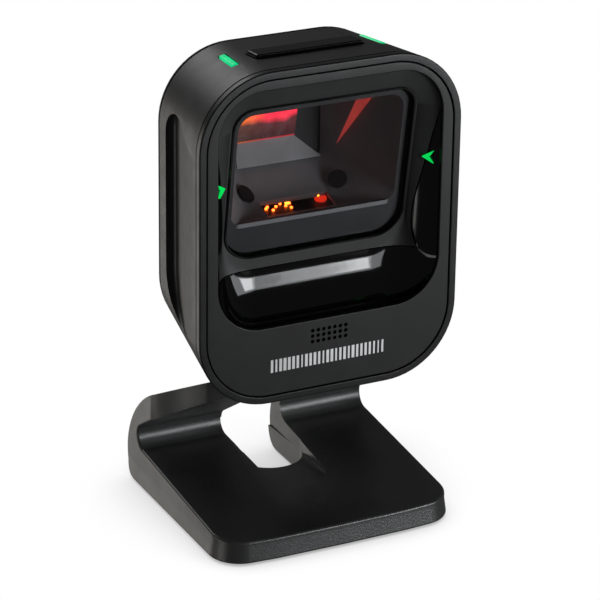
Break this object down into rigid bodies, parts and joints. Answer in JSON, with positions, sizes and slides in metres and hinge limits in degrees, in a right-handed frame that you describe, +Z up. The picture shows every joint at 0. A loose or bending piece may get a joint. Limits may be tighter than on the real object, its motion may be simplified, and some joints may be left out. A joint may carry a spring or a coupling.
{
  "type": "presentation barcode scanner",
  "caption": "Hands-free presentation barcode scanner: rounded black reading head with a scan window, tilting on a bent stand with a flat base.",
  "frame": {"origin": "on the table, under the middle of the object's box", "axes": "+Z up; the scan window looks along -Y; +X to the right of someone who faces the window"},
  "size_m": [0.0858, 0.0746, 0.152],
  "materials": {
    "stand_plastic": "fine-textured satin black",
    "housing_plastic": "fine-textured satin black",
    "rim_plastic": "smooth satin black",
    "bezel_plastic": "matte black",
    "gloss_plastic": "polished black",
    "matte_plastic": "matte dark grey",
    "window_plastic": "clear smoked window",
    "mirror": "polished",
    "green_guide": "lit translucent green",
    "red_lamp": "lit red",
    "board": "solder mask",
    "socket_plastic": "matte black",
    "steel": "zinc plated",
    "screw_steel": "black zinc",
    "rubber": "matte"
  },
  "bodies": {
    "stand": {"stand_shell": "stand_plastic", "ballast_plate": "steel", "base_cover": "stand_plastic", "base_screw_1": "screw_steel", "base_screw_2": "screw_steel", "base_screw_3": "screw_steel", "base_screw_4": "screw_steel", "foot_front_left": "rubber", "foot_front_right": "rubber", "foot_rear_left": "rubber", "foot_rear_right": "rubber", "hinge_pin": "steel", "friction_washer_left": "steel", "friction_washer_right": "steel", "pin_clip_left": "steel", "pin_clip_right": "steel"},
    "head": {"front_rim": "rim_plastic", "front_bezel": "bezel_plastic", "rear_housing": "housing_plastic", "rear_cover": "housing_plastic", "rear_screw_1": "screw_steel", "rear_screw_2": "screw_steel", "rear_screw_3": "screw_steel", "rear_screw_4": "screw_steel", "cable_socket": "socket_plastic", "scoop_liner": "gloss_plastic", "window_frame": "matte_plastic", "scan_window": "window_plastic", "light_box": "matte_plastic", "light_box_back": "matte_plastic", "fold_mirror": "mirror", "port_plug_left": "socket_plastic", "port_plug_right": "socket_plastic", "lamp_board": "board", "red_lamp_left": "red_lamp", "red_lamp_right": "red_lamp", "lens_barrel": "gloss_plastic", "camera_board": "board", "main_board": "board", "decoder_chip": "socket_plastic", "speaker": "socket_plastic", "switch_board": "board", "button_switch": "socket_plastic", "light_guide_left": "green_guide", "light_guide_right": "green_guide", "arrow_lens_left": "green_guide", "arrow_lens_right": "green_guide", "hinge_bracket": "steel", "bracket_screw_1": "screw_steel", "bracket_screw_2": "screw_steel", "bracket_screw_3": "screw_steel", "bracket_screw_4": "screw_steel"},
    "button": {"top_button": "rim_plastic"}
  },
  "joints": [
    {"name": "head_tilt", "type": "hinge", "parent": "stand", "child": "head", "pos_m": [0, -0.0122, 0.0515], "axis": [-1, 0, 0], "range_deg": [-12, 20]},
    {"name": "button_press", "type": "slide", "parent": "head", "child": "button", "axis": [0, 0, -1], "range_m": [0, 0.0009], "stiffness_N_per_m": 600, "springref_m": -0.001}
  ]
}
